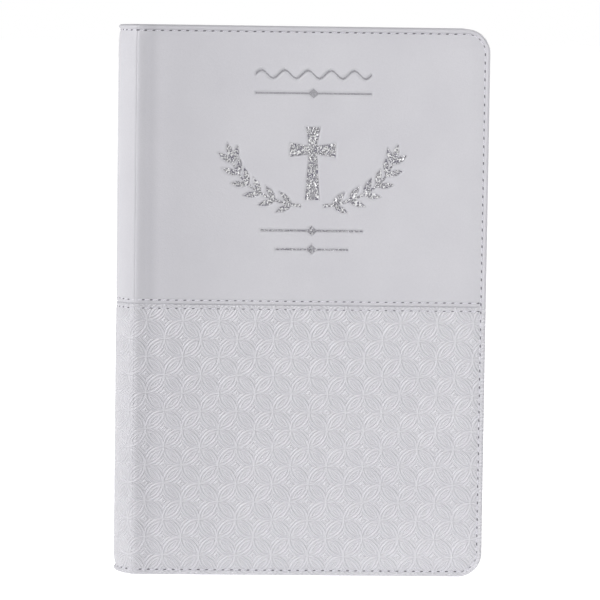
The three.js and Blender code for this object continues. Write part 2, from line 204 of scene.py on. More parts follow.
def grid_mesh(columns, rows):
    """A flat grid as a bmesh, with each vertex's column and row place."""
    bm = bmesh.new()
    bmesh.ops.create_grid(bm, x_segments=len(columns) - 1, y_segments=len(rows) - 1, size=1)
    bm.verts.ensure_lookup_table()
    flat = np.array([v.co for v in bm.verts])
    col = np.rint((flat[:, 0] + 1) / 2 * (len(columns) - 1)).astype(int)
    row = np.rint((flat[:, 1] + 1) / 2 * (len(rows) - 1)).astype(int)
    return bm, columns[col], rows[row]


def set_places(bm, places, lay):
    """Moves a bmesh's vertices, and notes where each lies on the flat sheet, for the patterns."""
    layer = bm.verts.layers.float_vector.new("lay")
    for vertex, place, flat in zip(bm.verts, places.tolist(), lay.tolist()):
        vertex.co = place
        vertex[layer] = flat


def finish_piece(name, bm, *finishes):
    """Makes the object, with its faces outwards and smooth."""
    bmesh.ops.recalc_face_normals(bm, faces=bm.faces)
    mesh = bpy.data.meshes.new(name)
    bm.to_mesh(mesh)
    bm.free()
    mesh.shade_smooth()
    for each in finishes:
        mesh.materials.append(each)
    piece = bpy.data.objects.new(name, mesh)
    bpy.context.scene.collection.objects.link(piece)
    return piece


print("rows over 3 mm, close then far apart:", len(graded((0, 1, 0.2), (1, 3, 1.0))))

# %% [markdown]
# ## Sums with shader sockets
# A finish is a network of shader nodes, and linking every Math node by hand hides what the pattern is.
# Wire holds one output socket and knows how to add, subtract, multiply and divide, so a pattern reads
# as a formula. The node is made when the sum is written.

# %% Wire
class Wire:
    """One output of a node, in a formula."""

    def __init__(self, finish, socket):
        self.finish = finish
        self.socket = socket

    def math(self, operation, *others):
        values = dict(enumerate((self, *others)))
        return self.finish.node("ShaderNodeMath", {"operation": operation}, values)

    def __add__(self, other):
        return self.math("ADD", other)

    __radd__ = __add__

    def __mul__(self, other):
        return self.math("MULTIPLY", other)

    __rmul__ = __mul__

    def __sub__(self, other):
        return self.math("SUBTRACT", other)

    def __rsub__(self, other):
        return self * -1 + other

    def __truediv__(self, other):
        return self.math("DIVIDE", other)

    def __pow__(self, other):
        return self.math("POWER", other)

    def low(self, other):
        return self.math("MINIMUM", other)

    def high(self, other):
        return self.math("MAXIMUM", other)

    def cosine(self):
        return self.math("COSINE")

    def root(self):
        return self.math("SQRT")

    def size(self):
        return self.math("ABSOLUTE")

    def band(self, low, high):
        """0 below low, 1 above high, and a soft step between."""
        values = {"Value": self, "From Min": low, "From Max": high}
        return self.finish.node("ShaderNodeMapRange", {"interpolation_type": "SMOOTHSTEP"}, values)


named = [word for word in vars(Wire) if not word.startswith("__")]
print("sums a wire can do:", len(named), "and + - * /")

# %% [markdown]
# ## A finish
# Finish makes one material: nodes feed one Principled shader, and relief goes in as a bump measured in
# millimetres. A piece that bends reads its flat places. A piece that never bends can read its own
# Object coordinates, which is simpler.

# %% Finish
class Finish:
    """A material with one Principled shader."""

    def __init__(self, name, flat=True, **constants):
        self.material = bpy.data.materials.new(name)
        self.material.use_nodes = True
        self.tree = self.material.node_tree
        self.shader = self.tree.nodes["Principled BSDF"]
        for socket, value in constants.items():
            self.shader.inputs[socket.replace("_", " ")].default_value = value
        if flat:
            self.place = self.node("ShaderNodeAttribute", {"attribute_name": "lay"}, {}, "Vector")
        else:
            self.place = self.node("ShaderNodeTexCoord", {}, {}, "Object")
        scale = {"Vector": self.place, "Scale": 1 / MM}
        self.mm = self.node("ShaderNodeVectorMath", {"operation": "SCALE"}, scale)
        parts = self.node("ShaderNodeSeparateXYZ", {}, {"Vector": self.mm}).socket.node.outputs
        self.x, self.y, self.z = (Wire(self, parts[i]) for i in range(3))

    def node(self, kind, settings, values, output=0):
        made = self.tree.nodes.new(kind)
        for key, value in settings.items():
            setattr(made, key, value)
        for key, value in values.items():
            if isinstance(value, Wire):
                self.tree.links.new(value.socket, made.inputs[key])
            else:
                made.inputs[key].default_value = value
        return Wire(self, made.outputs[output])

    def noise(self, scale, detail=3.0, place=None, distortion=0.0):
        values = {"Vector": place or self.mm, "Scale": scale, "Detail": detail}
        values["Distortion"] = distortion
        return self.node("ShaderNodeTexNoise", {}, values)

    def cells(self, scale, feature="F1"):
        values = {"Vector": self.mm, "Scale": scale}
        return self.node("ShaderNodeTexVoronoi", {"feature": feature}, values)

    def stretch(self, x, y, z):
        values = {0: self.mm, 1: (x, y, z)}
        return self.node("ShaderNodeVectorMath", {"operation": "MULTIPLY"}, values)

    def blend(self, share, first, second):
        values = {0: share, 6: first, 7: second}
        return self.node("ShaderNodeMix", {"data_type": "RGBA"}, values, 2)

    def feed(self, socket, wire):
        self.tree.links.new(wire.socket, self.shader.inputs[socket])

    def relief(self, height):
        """Height in millimetres, as a bump on the surface."""
        values = {"Height": height, "Distance": MM, "Strength": 1.0}
        self.feed("Normal", self.node("ShaderNodeBump", {}, values, "Normal"))

    def done(self, colour, rough=None, height=None):
        """Feeds what varies over the surface, and gives the material."""
        self.feed("Base Color", colour)
        if rough is not None:
            self.feed("Roughness", rough)
        if height is not None:
            self.relief(height)
        return self.material


def grey(value, violet=0.0):
    return (value, value * (1 - violet * 0.25), value * (1 + violet), 1)


print("a pale violet grey:", [round(v, 2) for v in grey(0.6, 0.05)])


# %% [markdown]
# ## The embossed lattice
# The lower panel is pressed into crossing circles with more lines beside each. It could be painted as
# an image, but a formula stays sharp at any size. A line's height only depends on how far a point is
# from the second nearest circle's edge, so one distance draws petals, echoes and diamonds together.

# %% The lattice's lines
LATTICE_R = 6.77
LATTICE_L = LATTICE_R * math.sqrt(2)
LATTICE_X = -57.4
LATTICE_Z = 61.6
LINE_GAP = 1.1


def lattice_lines(finish):
    """Embossed lines from 0 to 1, from the distance to the second nearest circle centre."""
    right = finish.x - LATTICE_X
    up = finish.z - LATTICE_Z
    along = ((right + up) * math.sqrt(0.5)).math("PINGPONG", LATTICE_L / 2)
    across = ((right - up) * math.sqrt(0.5)).math("PINGPONG", LATTICE_L / 2)
    far, near = along.high(across), along.low(across)
    away = ((LATTICE_L - far) ** 2 + near**2).root() - LATTICE_R
    return (away * (2 * math.pi / LINE_GAP)).cosine() * 0.5 + 0.5


print("circles", round(2 * LATTICE_R, 1), "mm across, lines", LINE_GAP, "mm apart")


# %% [markdown]
# ## The two leathers
# The cover is a polyurethane leather with a satin face: a very fine pebble grain, faint clouds of
# lighter and darker grey, and a slightly uneven gloss. Small cells give the pebbles and noise breaks
# them up. Both panels share one function. The lower one has a painted highlight on its raised lines.
# Both have painted shade: darker in the joint beside the spine, and a painted shadow that fades over
# the board from the joint.

# %% Leather
def leather(name, embossed):
    finish = Finish(name, Specular_IOR_Level=0.42, Sheen_Weight=0.06, Sheen_Roughness=0.5)
    clouds = finish.noise(0.045, 4)
    flecks = finish.noise(1.4, 2)
    tone = 0.5 if embossed else 0.48
    light = finish.blend(clouds.band(0.3, 0.7), grey(tone - 0.02, 0.05), grey(tone, 0.045))
    colour = finish.blend(flecks.band(0.3, 0.72) * 0.25, light, grey(tone - 0.06, 0.06))
    from_middle = (finish.x - SPINE_MIDDLE / MM).size() - (DIP_X - SPINE_MIDDLE) / MM
    # Painted shade: darker in the joint's hollow, then a painted shadow fading over the board.
    painted_joint_shade = (1 - from_middle.size().band(0.5, 5)) * 0.4
    shade = (1 - from_middle.band(3, 45)) * from_middle.band(-2, 2) * 0.3
    colour = finish.blend(painted_joint_shade + shade, colour, grey(tone - 0.12, 0.06))
    pebble = finish.cells(1.9, "SMOOTH_F1")
    grain = pebble * 0.035 + finish.noise(3.4, 3) * 0.03 + finish.noise(0.5, 2) * 0.05
    rough = clouds * 0.08 + flecks * 0.1 + 0.4
    if embossed:
        lines = lattice_lines(finish)
        grain = grain + lines * 0.23
        # Painted highlight: the raised lines are blended towards a lighter grey.
        colour = finish.blend(lines * 0.22, colour, grey(0.66, 0.04))
        rough = rough - lines * 0.03
    return finish.done(colour, rough, grain)


smooth_leather = leather("smooth_leather", False)
embossed_leather = leather("embossed_leather", True)
print("leathers:", smooth_leather.name, embossed_leather.name)

# %% [markdown]
# ## Where the leather rises and sinks
# The face is not flat. The stitches pull it in along the edges and to both sides of the seam, it dips
# into the joint between the spine and the board, it swells a little over the padded board, and the
# stamp has sunk the emblem into it. The lower panel is pressed into a lattice of crossing circles.
# These heights are real geometry, worked out for every vertex of the grid.

# %% Relief of the cover
# Depths and heights in millimetres.
DEEPEST = 0.8
EDGE_PULL, EDGE_SINK, JOINT_DIP = 0.42, 0.5, 0.75
SEAM_GROOVE, SEAM_SAG, ROW_PULL = 0.55, 0.12, 0.3
LINE_HIGH, PUFF_HIGH, INNER_SHARE = 0.15, 0.04, 0.6
PETAL_MIDDLE, DIAMOND = 1.96, 2.6
stamp_trees = []
for node_name, node in frame["nodes"].items():
    if node_name.startswith("foil_"):
        stamp_mesh = bmesh.new()
        stamp_mesh.from_mesh(node.data)
        stamp_trees.append((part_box(node_name), BVHTree.FromBMesh(stamp_mesh)))
        stamp_mesh.free()
STAMP_DEPTH = 0.27 * MM
STAMP_REACH = 0.6 * MM


def lattice_height(u, z):
    """Raised lattice lines and slightly puffed petals, in metres, at flat places."""
    right, up = u / MM - LATTICE_X, z / MM - LATTICE_Z
    fold_in = lambda v: np.abs(v - LATTICE_L * np.rint(v / LATTICE_L))
    along = fold_in((right + up) * math.sqrt(0.5))
    across = fold_in((right - up) * math.sqrt(0.5))
    far, near = np.maximum(along, across), np.minimum(along, across)
    away = np.hypot(LATTICE_L - far, near) - LATTICE_R
    lines = hump(away, 0.45) + INNER_SHARE * hump(away + PETAL_MIDDLE, 0.45)
    lines = lines + INNER_SHARE * hump(away - DIAMOND, 0.5)
    return (LINE_HIGH * lines + PUFF_HIGH * np.clip(-away, 0, 1)) * MM


def pressed(z, ring):
    """The share of the lattice left at the stitches, which press it flat."""
    reach = 0.75 * MM
    at_seam = hump(np.abs(z - SEAM) - SEAM_ROW, reach)
    rows = np.maximum(hump(ring - STITCH_INSET, reach), at_seam)
    return smooth((ring - ROLL) / (0.8 * MM)) * (1 - 0.92 * rows)


def general_relief(u, z, ring):
    """How deep the face lies below its plane, in metres."""
    deep = EDGE_PULL * hump(ring - STITCH_INSET, 0.8 * MM)
    past_row = smooth((ring - STITCH_INSET) / (5 * MM))
    deep = deep + EDGE_SINK * (1 - past_row) * (ring > STITCH_INSET)
    deep = deep + EDGE_SINK * smooth(ring / STITCH_INSET) * (ring <= STITCH_INSET)
    dip = np.where(u < DIP_X, hump(u - DIP_X, 2.6 * MM), hump(u - DIP_X, 5.5 * MM))
    deep = deep + JOINT_DIP * dip * smooth((ring - ROLL) / (3 * MM))
    off_seam = np.abs(z - SEAM)
    deep = deep + SEAM_GROOVE * hump(off_seam, 0.32 * MM) + SEAM_SAG * hump(off_seam, 4 * MM)
    deep = deep + ROW_PULL * hump(off_seam - SEAM_ROW, 0.55 * MM)
    deep = DEEPEST * np.tanh(deep / DEEPEST) * smooth((ring - ROLL) / (0.6 * MM))
    return np.where(ring > ROLL, deep, 0) * MM


def stamp_relief(u, z):
    """The stamp's hollows, from the distance to the foil that lies in them."""
    deep = np.zeros(len(u))
    for (low, high), tree in stamp_trees:
        level = (low.y + high.y) / 2
        inside = (u > low.x - STAMP_REACH) & (u < high.x + STAMP_REACH)
        inside &= (z > low.z - STAMP_REACH) & (z < high.z + STAMP_REACH)
        for i in np.flatnonzero(inside):
            away = tree.find_nearest((u[i], level, z[i]))[3]
            deep[i] = max(deep[i], STAMP_DEPTH * float(smooth((STAMP_REACH - away) / (0.4 * MM))))
    return deep


def cover_points(side, u, z, ring, depth):
    """Places on the leather, for the front (side -1) or the back (side 1)."""
    x, y, in_x, in_y = profile(u)
    return np.stack([x + in_x * depth, -side * (y + in_y * depth), z], axis=-1)


def flat_place(side, u, z, depth):
    """The same places on the unrolled leather, which runs from the front round to the back."""
    return np.stack([u if side < 0 else 2 * SPINE_MIDDLE - u, depth, z], axis=-1)


print("stamps:", len(stamp_trees))

# %% [markdown]
# ## The leather panels
# Each panel is one grid, closed behind by a single face that stops at the board. The front's lower
# panel has the finest grid, because its lattice is pressed into it. The upper panel's grid is finest
# where the emblem is stamped. The panel crosses the hinge.
# The face behind is one polygon, which has a cost: it is flat only while the cover is closed. When the
# cover opens, the polygon creases across the joint and comes through the leather. Dividing it into
# strips at the joint's columns is the first thing to try.

# %% The joint's bend
HINGE_START = (SPLIT + 0.05 * MM, 0, 0)
HINGE_END = (BOARD_X - 0.3 * MM, 0, 0)
cover_pieces = {-1: "front", 1: "back"}


def walls_behind(bm, level_of):
    """Walls from the sheet's open edges to where level_of puts each point."""
    rim = [e for e in bm.edges if e.is_boundary]
    made = bmesh.ops.extrude_edge_only(bm, edges=rim)
    for vertex in (g for g in made["geom"] if isinstance(g, bmesh.types.BMVert)):
        vertex.co = level_of(vertex.co)


def close_behind(bm, level_of):
    """Walls, and one face between them."""
    walls_behind(bm, level_of)
    bmesh.ops.holes_fill(bm, edges=[e for e in bm.edges if e.is_boundary], sides=0)


print("the joint bends from", round(HINGE_START[0] / MM, 1), "to", round(HINGE_END[0] / MM, 1), "mm")

# %% [markdown]
# ## One function for four panels
# The front and back are mirror images, and the upper and lower panels differ in their relief and
# finish. So one function makes all four. Only the front's upper panel looks for stamps.

# %% The panel maker
def leather_panel(name, side, upper, columns, rows, finish):
    bm, c, r = grid_mesh(columns, rows)
    ring = np.minimum(c, r)
    inset, depth = roll(ring)
    c, r = round_corner(c, r, CORNER, inset)
    u = HALF_WIDTH - c
    z = HEIGHT - r if upper else r
    depth = depth + general_relief(u, z, ring)
    if upper and side < 0:
        depth = depth + stamp_relief(u, z)
    if not upper:
        depth = depth - lattice_height(u, z) * pressed(z, ring)
    set_places(bm, cover_points(side, u, z, ring, depth), flat_place(side, u, z, depth))
    back = side * BOARD_Y
    close_behind(bm, lambda p: Vector((p.x, back, p.z)))
    piece = finish_piece(name, bm, finish)
    which = cover_pieces[side]
    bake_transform(piece)
    half = "upper" if upper else "lower"
    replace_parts(piece, f"{half}_panel_{which}")
    print(name, len(piece.data.polygons), "faces")
    return piece


print("turn-in and roll start at ring", round(RING_END / MM, 1), "mm")

# %% [markdown]
# ## Where the grids are fine
# A row every third of a millimetre over the whole cover would be far too many faces. So rows are close
# together at the rolled edge, the seam, the joint and the emblem, and wider on plain leather. The
# lattice needs fine rows everywhere.

# %% Front and back panels
ROLLED_END, FINE_EDGE, FINE_SEAM, FINE_JOINT = -2.3, 3.5, 4.5, 16
edge_rows = [(RING_END / MM, ROLLED_END, 1.6), (ROLLED_END, FINE_EDGE, 0.36)]
across_end = (HALF_WIDTH - SPLIT) / MM
above = (HEIGHT - SEAM) / MM
below = SEAM / MM
to_joint = across_end - FINE_JOINT
to_seam = above - FINE_SEAM
emblem_left = HALF_WIDTH / MM - max(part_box("foil_branch_right")[1].x, 0) / MM - 1
emblem_right = HALF_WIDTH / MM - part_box("foil_branch_left")[0].x / MM + 1
emblem_top = (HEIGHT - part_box("foil_wave")[1].z) / MM - 1
emblem_foot = (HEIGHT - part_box("foil_lower_rule_short")[0].z) / MM + 1

emblem_columns = graded(
    *edge_rows,
    (FINE_EDGE, emblem_left, 0.9),
    (emblem_left, emblem_right, 0.34),
    (emblem_right, to_joint, 0.9),
    (to_joint, across_end, 0.5),
)
emblem_rows = graded(
    *edge_rows,
    (FINE_EDGE, emblem_top, 0.9),
    (emblem_top, emblem_foot, 0.34),
    (emblem_foot, to_seam, 0.9),
    (to_seam, above, 0.25),
)
plain_columns = graded(*edge_rows, (FINE_EDGE, to_joint, 1.2), (to_joint, across_end, 0.6))
plain_rows = graded(*edge_rows, (FINE_EDGE, to_seam, 1.2), (to_seam, above, 0.25))


def lattice_grid(step):
    fine_from = below - 4
    columns = graded(*edge_rows, (FINE_EDGE, across_end, step))
    return columns, graded(*edge_rows, (FINE_EDGE, fine_from, step), (fine_from, below, 0.3))


leather_panel("front_upper_leather", -1, True, emblem_columns, emblem_rows, smooth_leather)
leather_panel("front_lower_leather", -1, False, *lattice_grid(0.41), embossed_leather)
leather_panel("back_upper_leather", 1, True, plain_columns, plain_rows, smooth_leather)
leather_panel("back_lower_leather", 1, False, *lattice_grid(0.5), embossed_leather)

# %% [markdown]
# ## The spine's leather
# The same sheet goes on round the spine. It is turned in only at the head and tail. Its ends meet the
# front and back panels on the folds, at exactly the same points of the cross-section's line.

# %% Spine panels
def spine_panel(name, upper, step_u, step_z, finish):
    half = (SPLIT - SPINE_MIDDLE) / MM
    run = above if upper else below
    columns = graded((-half, half, step_u))
    fine_from = run - FINE_SEAM
    rows = graded(*edge_rows, (FINE_EDGE, fine_from, step_z), (fine_from, run, 0.25))
    bm, off, r = grid_mesh(columns, rows)
    inset, depth = roll(r)
    z = HEIGHT - inset if upper else inset
    u = SPINE_MIDDLE + np.abs(off)
    depth = depth + general_relief(u, z, r)
    if not upper:
        depth = depth - 0.55 * lattice_height(SPINE_MIDDLE - off, z) * pressed(z, r)
    x, y, in_x, in_y = profile(u)
    y = (y + in_y * depth) * np.where(off > 0, -1, 1)
    lay = np.stack([SPINE_MIDDLE - off, depth, z], axis=-1)
    set_places(bm, np.stack([x + in_x * depth, y, z], axis=-1), lay)
    skin = HALF_THICK - BOARD_Y

    def behind(p):
        centre = Vector((SPINE_X, 0, p.z))
        return centre + (p - centre).normalized() * (SPINE_R - skin)

    walls_behind(bm, behind)
    piece = finish_piece(name, bm, finish)
    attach(piece, "root")
    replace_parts(piece, f"{'upper' if upper else 'lower'}_panel_spine")
    print(name, len(piece.data.polygons), "faces")
    return piece


spine_panel("spine_upper_leather", True, 0.7, 1.2, smooth_leather)
spine_panel("spine_lower_leather", False, 0.4, 0.42, embossed_leather)

# %% [markdown]
# ## Thread and stitches
# A lockstitch shows as a row of short lengths of thread that dip into needle holes between them.
# Each length is a stretched ball of a few dozen faces, turned a little across the row as real
# stitches lie, and the shadow in each hole is painted as a dark spot.
# The same rows show on the lining side of each cover. The thread is pale and has a fine twist.

# %% Thread and needle holes
def thread_finish():
    finish = Finish("thread", Roughness=0.62, Sheen_Weight=0.2)
    twist = ((finish.x + finish.z + finish.y) * 9.0).cosine() * 0.5 + 0.5
    colour = finish.blend(twist, grey(0.45, 0.08), grey(0.62, 0.05))
    return finish.done(colour, height=twist * 0.06)


# The needle holes' shade is painted: a dark grey finish on a flat ball in each hole.
def hole_shadow_finish():
    finish = Finish("painted_hole_shadow", Roughness=0.9, Specular_IOR_Level=0.1)
    tone = finish.noise(1.5, 2)
    return finish.done(finish.blend(tone, grey(0.1, 0.1), grey(0.18, 0.1)))


thread, painted_hole_shadow = thread_finish(), hole_shadow_finish()
print("thread finishes:", thread.name, painted_hole_shadow.name)

# %% [markdown]
# ## One stitch
# A real lockstitch is a thread that comes out of one hole and goes down the next. From outside only
# the length between two holes shows. A stretched ball is enough for it at this size, and the hole's
# shadow is painted as a flat dark ball. Each hole is placed on the leather itself, so the row follows
# every dip.

# %% One stitch
PITCH = 3.1 * MM
STITCH_LONG = 2.3 * MM
STITCH_WIDE = 0.62 * MM
STITCH_HIGH = 0.5 * MM
HOLE_SHADOW_SIZE = (1.45 * MM, 0.7 * MM, 0.16 * MM)
SLANT = math.radians(5)


def add_ball(bm, centre, axes, size, rounds):
    """A ball of few faces, stretched along three axes. Gives its faces."""
    scale = Matrix.Diagonal((size[0] / 2, size[1] / 2, size[2] / 2, 1))
    turn = Matrix.Rotation(math.pi / 2, 4, "Y")
    place = Matrix.Translation(centre) @ axes @ scale @ turn
    made = bmesh.ops.create_uvsphere(bm, u_segments=rounds, v_segments=6, radius=1, matrix=place)
    return {face for vertex in made["verts"] for face in vertex.link_faces}


def add_stitch(bm, start, end, out):
    """One stitch between two needle holes, half sunk into the leather, and the painted hole shadow at
    its end.
    """
    along = (end - start).normalized()
    along = (along - out * along.dot(out)).normalized()
    across = out.cross(along)
    turned = along * math.cos(SLANT) + across * math.sin(SLANT)
    side = out.cross(turned)
    axes = Matrix((turned, side, out)).transposed().to_4x4()
    add_ball(bm, (start + end) / 2, axes, (STITCH_LONG, STITCH_WIDE, STITCH_HIGH), 8)
    for face in add_ball(bm, end, axes, HOLE_SHADOW_SIZE, 6):
        face.material_index = 1


def leather_point(side, u, z, ring, sink=0.0):
    """The place of a point of the leather, a little below its face, and its outward direction."""
    one = np.array([u])
    deep = float(general_relief(one, np.array([z]), np.array([ring]))[0]) + sink
    x, y, in_x, in_y = (float(v[0]) for v in profile(one))
    place = Vector((x + in_x * deep, -side * (y + in_y * deep), z))
    return place, Vector((-in_x, side * in_y, 0))


print("a stitch is", round(STITCH_LONG / MM, 1), "mm long, holes are", round(PITCH / MM, 1), "mm apart")

# %% [markdown]
# ## Rows of stitches
# One row runs along the head, round both corners, down the fore-edge and along the tail. Two more run
# across the cover, one on each side of the seam. Both are written as lists of places and headings, so
# one function can sew them all.

# %% Rows
def edge_path():
    """Points one stitch apart along a cover's head, fore-edge and tail, as (u, z, heading)."""
    radius = CORNER - STITCH_INSET
    right = HALF_WIDTH - CORNER
    flat = right - SPLIT
    corner = radius * math.pi / 2
    upright = HEIGHT - 2 * CORNER
    total = 2 * (flat + corner) + upright
    count = round(total / PITCH)
    steps = []
    for i in range(count):
        s = (i + 0.5) * total / count
        if s < flat:
            steps.append((SPLIT + s, STITCH_INSET, (1, 0)))
        elif s < flat + corner:
            a = (s - flat) / radius
            steps.append((right + radius * math.sin(a), CORNER - radius * math.cos(a),
                          (math.cos(a), math.sin(a))))
        elif s < flat + corner + upright:
            steps.append((HALF_WIDTH - STITCH_INSET, CORNER + s - flat - corner, (0, 1)))
        elif s < total - flat:
            a = (s - flat - corner - upright) / radius
            steps.append((right + radius * math.cos(a), HEIGHT - CORNER + radius * math.sin(a),
                          (-math.sin(a), math.cos(a))))
        else:
            steps.append((right - (s - total + flat), HEIGHT - STITCH_INSET, (-1, 0)))
    return steps


def row_path(z, start, end):
    count = round(abs(end - start) / PITCH)
    return [(start + (end - start) * (i + 0.5) / count, z, (1, 0)) for i in range(count)]


def stitch_row(name, side, path, ring_of, replaced):
    """Stitches on the outside of a cover, placed on its leather."""
    bm = bmesh.new()
    for u, z, heading in path:
        ends = []
        for half in (-PITCH / 2, PITCH / 2):
            at_u, at_z = u + heading[0] * half, z + heading[1] * half
            place, out = leather_point(side, at_u, at_z, ring_of(at_u, at_z), 0.02 * MM)
            ends.append(place)
        add_stitch(bm, *ends, out)
    copy_places(bm)
    piece = finish_piece(name, bm, thread, painted_hole_shadow)
    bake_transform(piece)
    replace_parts(piece, replaced)
    return piece


def copy_places(bm):
    layer = bm.verts.layers.float_vector.new("lay")
    for vertex in bm.verts:
        vertex[layer] = vertex.co


def inner_stitches(name, side):
    """The underside of the edge stitching, on the lining."""
    bm = bmesh.new()
    for u, z, heading in edge_path():
        if u > HINGE_END[0]:
            centre = Vector((u, side * (PASTE_Y - 0.02 * MM), z))
            half = Vector((heading[0], 0, heading[1])) * PITCH / 2
            add_stitch(bm, centre - half, centre + half, Vector((0, -side, 0)))
    copy_places(bm)
    piece = finish_piece(name, bm, thread, painted_hole_shadow)
    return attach(piece, f"{cover_pieces[side]}_cover")


print("stitches on one cover's edge:", len(edge_path()))

# %% [markdown]
# ## Sewing both covers
# Each cover gets its edge row and its two seam rows on the outside. The edge row also shows inside,
# on the lining, because the same thread goes through every layer.

# %% Sewing the covers
row_end = HALF_WIDTH - STITCH_INSET - 1.2 * MM
sewn = []
for side, which in cover_pieces.items():
    sewn.append(stitch_row(f"{which}_edge_stitches", side, edge_path(),
                           lambda u, z: STITCH_INSET, f"edge_stitching_{which}"))
    for level, z in (("upper", SEAM + SEAM_ROW), ("lower", SEAM - SEAM_ROW)):
        sewn.append(stitch_row(f"{which}_seam_stitches_{level}", side, row_path(z, SPLIT, row_end),
                               lambda u, z: HALF_WIDTH - u, f"seam_stitching_{level}_{which}"))
    sewn.append(inner_stitches(f"{which}_lining_stitches", side))

print("rows sewn on the covers:", len(sewn))

# %% [markdown]
# ## Stitches round the spine
# The rows carry on round the spine. These never bend, so they ride on the spine. Each stitch points
# outwards from the middle of the spine's curve.

# %% Stitches round the spine
spine_rows = {
    "edge_stitching_spine_head": HEIGHT - STITCH_INSET,
    "seam_stitching_upper_spine": SEAM + SEAM_ROW,
    "seam_stitching_lower_spine": SEAM - SEAM_ROW,
    "edge_stitching_spine_tail": STITCH_INSET,
}
for node_name, z in spine_rows.items():
    bm = bmesh.new()
    half = SPLIT - SPINE_MIDDLE
    for off, _, _ in row_path(z, -half, half):
        ends = []
        for step in (-PITCH / 2, PITCH / 2):
            at = off + step
            side = 1 if at > 0 else -1
            ring = min(z, HEIGHT - z)
            place, out = leather_point(side, SPINE_MIDDLE + abs(at), z, ring, 0.02 * MM)
            ends.append(place)
        middle_out = Vector((ends[0].x + ends[1].x - 2 * SPINE_X, ends[0].y + ends[1].y, 0))
        add_stitch(bm, *ends, middle_out.normalized())
    copy_places(bm)
    piece = finish_piece(f"{node_name}_thread", bm, thread, painted_hole_shadow)
    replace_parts(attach(piece, "root"), node_name)
print("rows round the spine:", len(spine_rows))

# %% [markdown]
# ## Foil
# Hot foil takes the leather's grain. Bright silver flecks in its colour are painted glints. Darker
# violet patches are partly wear, where the foil has not quite taken and is less metallic, and partly
# painted dark reflection. The thin rules get fewer of both than the wide emblem. The frame's own
# foil nodes already lie at the floor of the stamp's hollows, so they only need a finish.

# %% Foil finishes
def silver_foil(name, wear_and_reflection, glint):
    finish = Finish(name, flat=False)
    patches = finish.noise(0.65, 4, distortion=0.8)
    flecks = finish.cells(1.7)
    # Patches: partly wear, less metallic, and partly painted dark reflection in the colour.
    wear_and_dark_reflection = patches.band(0.5, 0.66) * wear_and_reflection
    colour = finish.blend(wear_and_dark_reflection, grey(0.33, 0.07), grey(0.1, 0.35))
    # Painted glints: bright flecks blended into the colour.
    painted_glints = flecks.band(0.45, 0.7)
    colour = finish.blend(painted_glints * glint, colour, grey(0.9))
    finish.feed("Metallic", 1 - wear_and_dark_reflection * 0.55)
    return finish.done(colour, patches * 0.25 + 0.16, flecks * 0.09 + patches * 0.2)


def grey_foil():
    finish = Finish("grey_foil", flat=False, Specular_IOR_Level=0.35)
    flecks = finish.noise(2.2, 3)
    colour = finish.blend(flecks.band(0.4, 0.7), grey(0.24, 0.06), grey(0.32, 0.05))
    return finish.done(colour, flecks * 0.3 + 0.35, flecks * 0.05)


def give(node_name, material):
    node = frame["nodes"][node_name]
    node.data.materials.clear()
    node.data.materials.append(material)


silver, fine = silver_foil("silver_foil", 1, 0.8), silver_foil("fine_foil", 0.4, 0.35)
dull = grey_foil()
stamped = [n for n in frame["nodes"] if n.startswith("foil_")]
for node_name in stamped:
    grey_line = node_name in ("foil_wave", "foil_upper_rule")
    give(node_name, dull if grey_line else fine if "lower_rule" in node_name else silver)
print("foil pieces:", len(stamped))

# %% [markdown]
# ## Paper
# Bible paper is thin and slightly warm. A section's face shows two columns of print, which is only
# suggested here by short grey bars of no meaning. The block's edges show the leaves as fine lines,
# uneven in tone, that run along the section. Endpapers are heavier and carry a faint laid texture.

# %% The printed page
TEXT_PITCH = 3.1
COLUMN_WIDE = 49.0
COLUMN_GAP = 4.0


def paper_grain(finish, amount):
    fibres = finish.noise(0.9, 4)
    finish.relief(fibres * amount + finish.noise(4.0, 2) * amount * 0.5)
    return fibres


def printed_page():
    finish = Finish("printed_page", Specular_IOR_Level=0.25)
    fibres = paper_grain(finish, 0.02)
    left = GUTTER / MM + 13
    foot, top = PAGE_TAIL / MM + 11, PAGE_HEAD / MM - 12
    right = left + 2 * COLUMN_WIDE + COLUMN_GAP
    middle = left + COLUMN_WIDE + COLUMN_GAP / 2
    line = (finish.z / TEXT_PITCH).math("FLOOR")
    within = (finish.z / TEXT_PITCH).math("FRACT")
    strokes = within.band(0.34, 0.42) * (1 - within.band(0.6, 0.68))
    at = finish.node("ShaderNodeCombineXYZ", {}, {"X": finish.x * 0.95, "Y": line * 3.7, "Z": 0.5})
    words = finish.noise(1.0, 1, place=at).band(0.40, 0.44)
    frame_x = finish.x.band(left - 0.1, left) * (1 - finish.x.band(right, right + 0.1))
    frame_z = finish.z.band(foot, foot + 0.1) * (1 - finish.z.band(top, top + 0.1))
    gap = (finish.x - middle).size().band(COLUMN_GAP / 2 - 0.1, COLUMN_GAP / 2)
    ink = strokes * words * frame_x * frame_z * gap
    sheet = finish.blend(fibres.band(0.3, 0.7), (0.71, 0.69, 0.645, 1), (0.76, 0.742, 0.70, 1))
    colour = finish.blend(ink * 0.55, sheet, grey(0.12))
    return finish.done(colour, fibres * 0.1 + 0.75)


print("print columns", COLUMN_WIDE, "mm wide, lines", TEXT_PITCH, "mm apart")


# %% [markdown]
# ## Leaf edges and endpapers
# A closed block shows some hundreds of leaves on its three cut edges. Modelling each leaf would cost
# millions of faces, so a stretched noise draws them as fine lines that run the way the leaves lie.
# Endpapers are one heavy sheet with soft fibres and a very faint laid line.

